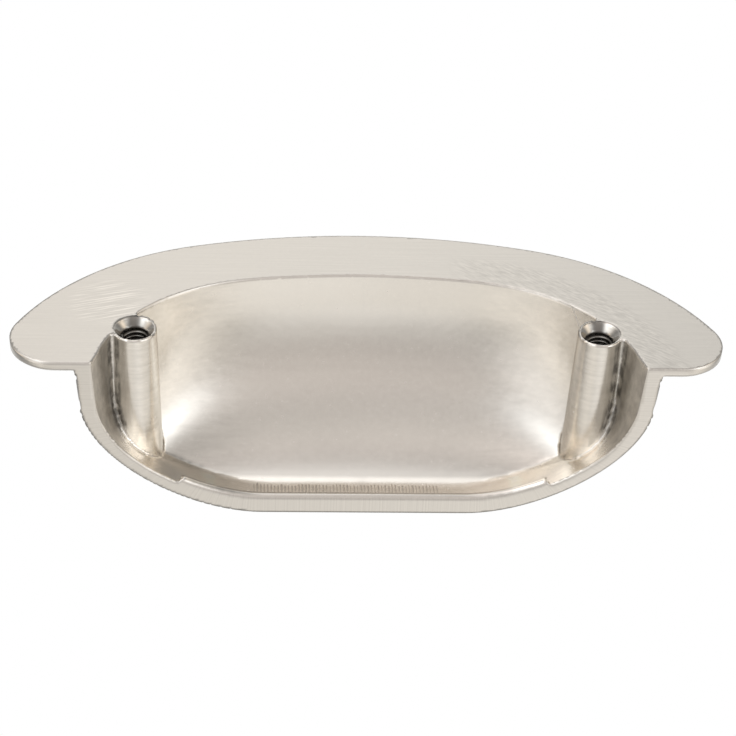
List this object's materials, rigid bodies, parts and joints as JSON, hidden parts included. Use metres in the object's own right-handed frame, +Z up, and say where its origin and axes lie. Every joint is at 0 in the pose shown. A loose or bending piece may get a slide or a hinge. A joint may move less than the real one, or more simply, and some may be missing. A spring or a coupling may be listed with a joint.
{
  "type": "cup pull",
  "caption": "Shell-shaped cup pull for a drawer: a crescent back plate with rounded ears, a hollow cup open downwards, and threaded posts for screws from behind.",
  "frame": {"origin": "midway between the two screw holes, on the flat back face that meets the drawer front", "axes": "+X along the pull from one hole to the other, +Y out of the back face into the drawer front, +Z up; the cup opens downwards, -Z"},
  "size_m": [0.1158, 0.0313, 0.0389],
  "materials": {
    "satin_nickel": "satin nickel, finely brushed"
  },
  "bodies": {
    "root": {"cup_pull": "satin_nickel"}
  },
  "joints": []
}
